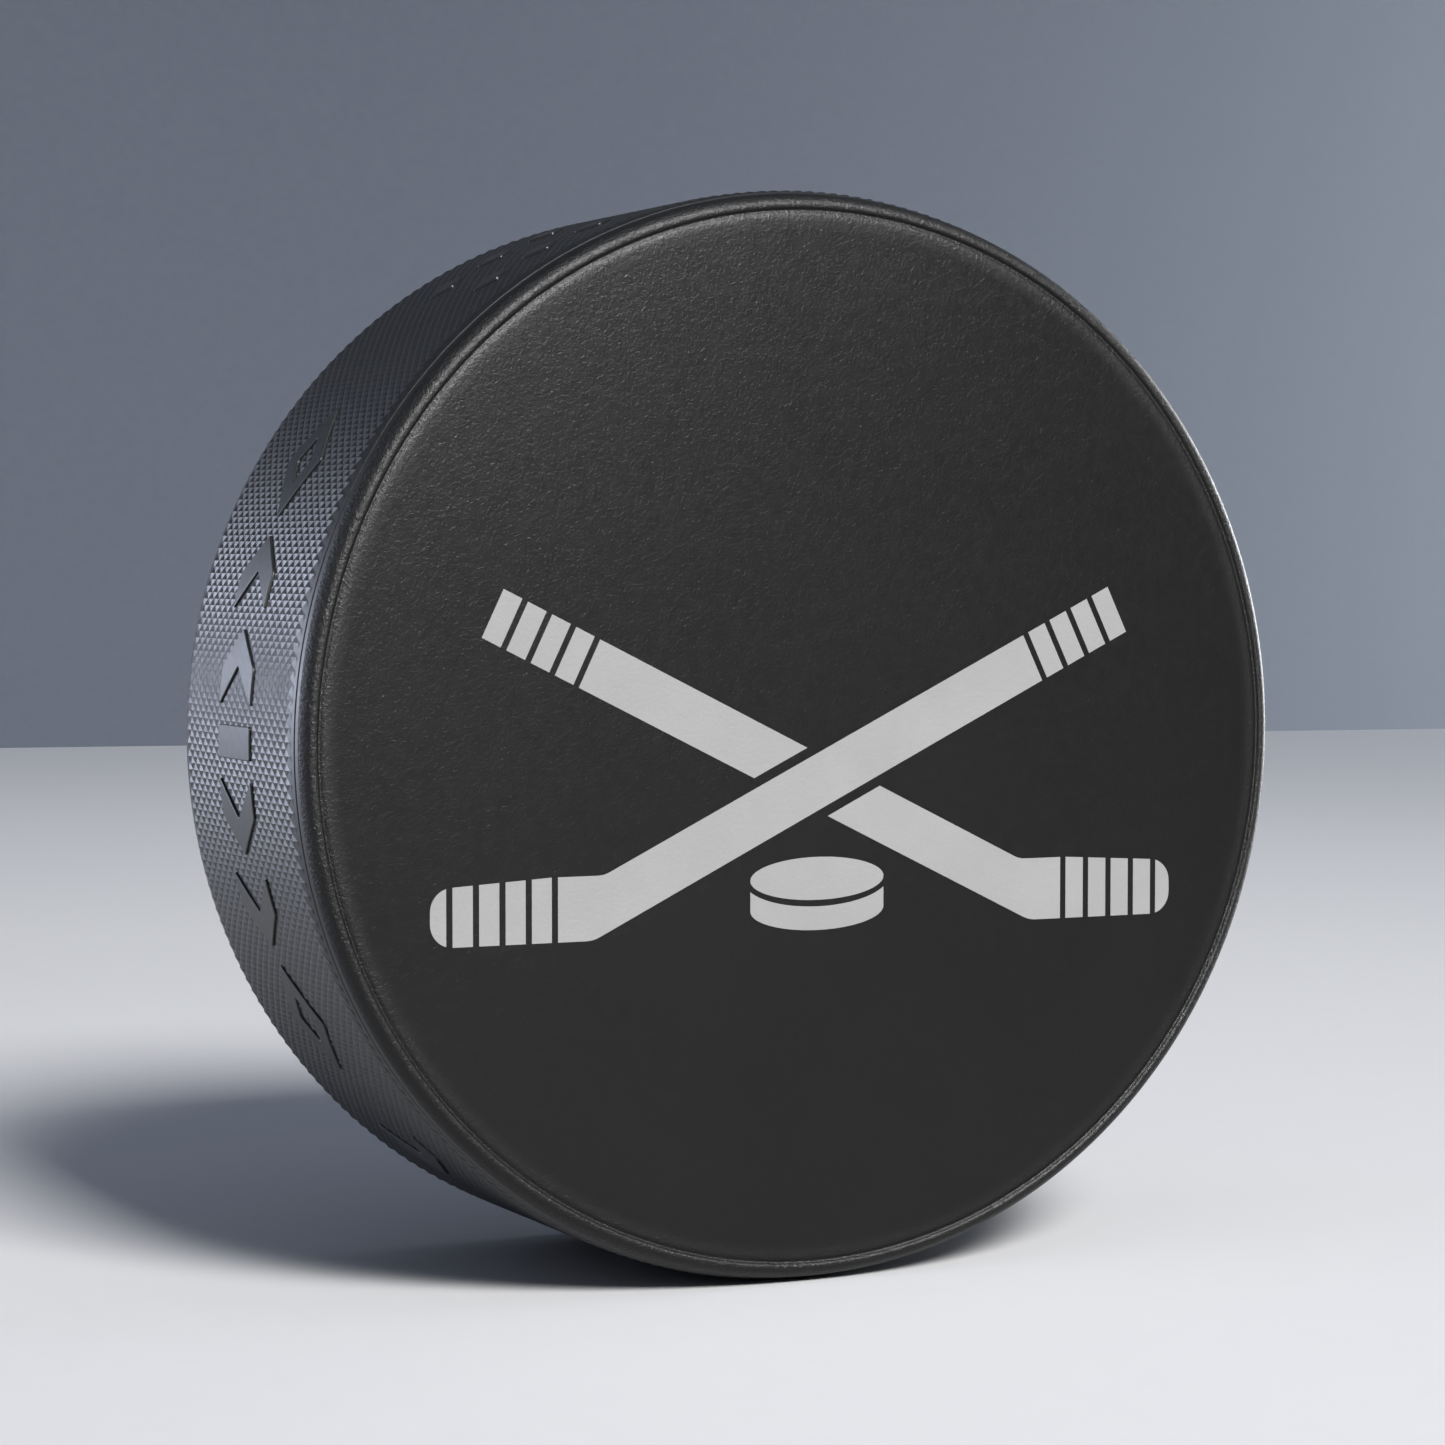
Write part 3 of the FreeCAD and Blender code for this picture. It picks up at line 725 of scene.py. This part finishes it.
def add_stage():
    """The floor, and a backdrop that stands a little askew behind the puck."""
    reach = FLOOR_REACH
    floor = [(-reach, -reach, 0), (reach, -reach, 0), (reach, reach, 0), (-reach, reach, 0)]
    add_sheet_of_stage("floor", floor, make_floor_material())
    turn = math.radians(WALL_TURN)
    along = Vector((math.cos(turn), math.sin(turn), 0))
    middle = Vector((0, WALL_DISTANCE, 0))
    left, right = middle - along * reach, middle + along * reach
    up = Vector((0, 0, WALL_HEIGHT))
    add_sheet_of_stage("backdrop", [left, right, right + up, left + up], make_backdrop_material())


def add_lights(pieces):
    """The key light, three panels for the rubber alone, one for the backdrop, and the room."""
    rubber = bpy.data.collections.new("lit_by_panels")
    for piece in pieces:
        rubber.objects.link(piece)
    middle = Vector((0, 0, AXIS_HEIGHT))
    add_panel(
        "key_light",
        place=from_puck(azimuth=4.4, elevation=38, distance=1.5),
        target=Vector((0.05, 0.12, 0)),
        size=(0.48, 0.43),
        power=5.55,
        colour=(1, 0.985, 0.965),
        spread=60,
    )
    add_panel(
        "face_light",
        place=from_puck(azimuth=2, elevation=34, distance=0.32),
        target=middle,
        size=(0.14, 0.14),
        power=1.85,
        colour=(1.0, 1.0, 1.0),
        lit=rubber,
    )
    add_panel(
        "left_light",
        place=from_puck(azimuth=-127, elevation=5, distance=0.6),
        target=middle,
        size=(0.6, 0.13),
        power=3.7,
        colour=(0.76, 0.82, 1.0),
        lit=rubber,
    )
    add_panel(
        "right_light",
        place=from_puck(azimuth=104, elevation=4, distance=0.6),
        target=middle,
        size=(0.45, 0.3),
        power=6.4,
        colour=(1.0, 1.0, 1.0),
        lit=rubber,
    )
    add_panel(
        "backdrop_light",
        place=Vector((1.0, 0.32, 0.1)),
        target=Vector((0.65, 0.65, 0)),
        size=(0.3, 0.2),
        power=2.15,
        colour=(0.9, 0.95, 1.0),
    )
    add_room()


def add_room():
    """Dim blue light from above, fading to almost none at the horizon."""
    world = bpy.data.worlds.new("dim_room")
    world.use_nodes = True
    tree = world.node_tree
    place = tree.nodes.new("ShaderNodeTexCoord")
    parts = tree.nodes.new("ShaderNodeSeparateXYZ")
    ramp = tree.nodes.new("ShaderNodeMapRange")
    ramp.inputs["From Min"].default_value = ROOM_RAMP_START
    ramp.inputs["From Max"].default_value = ROOM_RAMP_END
    mix = tree.nodes.new("ShaderNodeMix")
    mix.data_type = "RGBA"
    mix.inputs["A"].default_value = (*ROOM_LOW, 1)
    mix.inputs["B"].default_value = (*ROOM_HIGH, 1)
    tree.links.new(place.outputs["Generated"], parts.inputs["Vector"])
    tree.links.new(parts.outputs["Z"], ramp.inputs["Value"])
    tree.links.new(ramp.outputs["Result"], mix.inputs["Factor"])
    tree.links.new(mix.outputs["Result"], tree.nodes["Background"].inputs["Color"])
    bpy.context.scene.world = world


def main():
    add_camera()
    grained, banded, ink = make_grained_rubber(), make_band_rubber(), make_ink()
    moulding = make_moulding((grained, banded))
    marks = make_edge_marks(banded)
    for piece in (moulding, marks):
        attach(piece, "root")
        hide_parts("rubber_puck")
    for name, node in frame["nodes"].items():
        if name.startswith("print_"):
            node.data.materials.clear()
            node.data.materials.append(ink)
    add_stage()
    add_lights([moulding, marks])
    bpy.context.scene.view_settings.view_transform = "Standard"


main()
